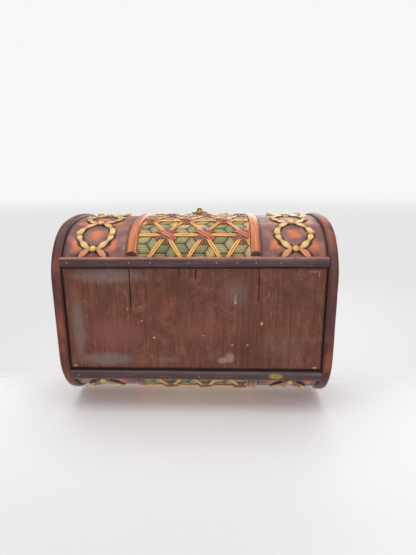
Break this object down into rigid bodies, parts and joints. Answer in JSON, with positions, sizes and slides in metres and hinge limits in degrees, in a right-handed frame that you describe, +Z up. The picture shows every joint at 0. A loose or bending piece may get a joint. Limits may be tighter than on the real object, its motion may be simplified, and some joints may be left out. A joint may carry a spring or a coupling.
{
  "type": "treasure chest",
  "caption": "Barrel-shaped keepsake chest with a hinged domed lid, bent cane hoops, woven mat panels with an open strip lattice, scalloped strands, and a brass hasp.",
  "frame": {"origin": "middle of the bottom, on the surface the chest stands on", "axes": "+X along the chest, to the right seen from the front; -Y towards the front with the hasp; +Z up"},
  "size_m": [0.24, 0.1784, 0.1553],
  "materials": {
    "bare_wood": "matt",
    "bead": "polished",
    "brass": "aged",
    "dark_cane": "satin",
    "lattice_strip": "satin",
    "leather": "satin",
    "mat_weave": "matt",
    "orange_cane": "satin",
    "stained_board": "satin",
    "strand": "satin"
  },
  "bodies": {
    "body": {"back_lattice": "lattice_strip", "back_leather_left": "leather", "back_leather_right": "leather", "back_mat": "mat_weave", "back_rib_left": "orange_cane", "back_rib_right": "orange_cane", "back_shell": "bare_wood", "back_vine_left": "strand", "back_vine_right": "strand", "body_beads": "bead", "body_hoop_left": "dark_cane", "body_hoop_right": "dark_cane", "bottom_board": "stained_board", "end_panel_left": "bare_wood", "end_panel_right": "bare_wood", "front_lattice": "lattice_strip", "front_leather_left": "leather", "front_leather_right": "leather", "front_mat": "mat_weave", "front_rail": "dark_cane", "front_rib_left": "orange_cane", "front_rib_right": "orange_cane", "front_shell": "bare_wood", "front_vine_left": "strand", "front_vine_right": "strand", "hinge_lower_leaf_left": "brass", "hinge_lower_leaf_right": "brass", "hinge_lower_screws": "brass", "hinge_pin_left": "brass", "hinge_pin_right": "brass", "rail_nails": "bead", "rear_rail": "dark_cane", "staple": "brass", "staple_nails": "brass"},
    "lid": {"hasp_nails": "brass", "hasp_pin": "brass", "hasp_plate": "brass", "hinge_upper_leaf_left": "brass", "hinge_upper_leaf_right": "brass", "hinge_upper_screws": "brass", "lid_beads": "bead", "lid_end_left": "bare_wood", "lid_end_right": "bare_wood", "lid_hoop_left": "dark_cane", "lid_hoop_right": "dark_cane", "lid_lattice": "lattice_strip", "lid_leather_left": "leather", "lid_leather_right": "leather", "lid_mat": "mat_weave", "lid_rib_left": "orange_cane", "lid_rib_right": "orange_cane", "lid_shell": "bare_wood", "lid_vine_left": "strand", "lid_vine_right": "strand"},
    "flap": {"hasp_flap": "brass"}
  },
  "joints": [
    {"name": "lid_hinge", "type": "hinge", "parent": "body", "child": "lid", "pos_m": [0, 0.08643, 0.098], "axis": [-1, 0, 0], "range_deg": [0, 105]},
    {"name": "hasp_hinge", "type": "hinge", "parent": "lid", "child": "flap", "pos_m": [0.0015, -0.08495, 0.10112], "axis": [1, 0, 0], "range_deg": [0, 180]}
  ]
}
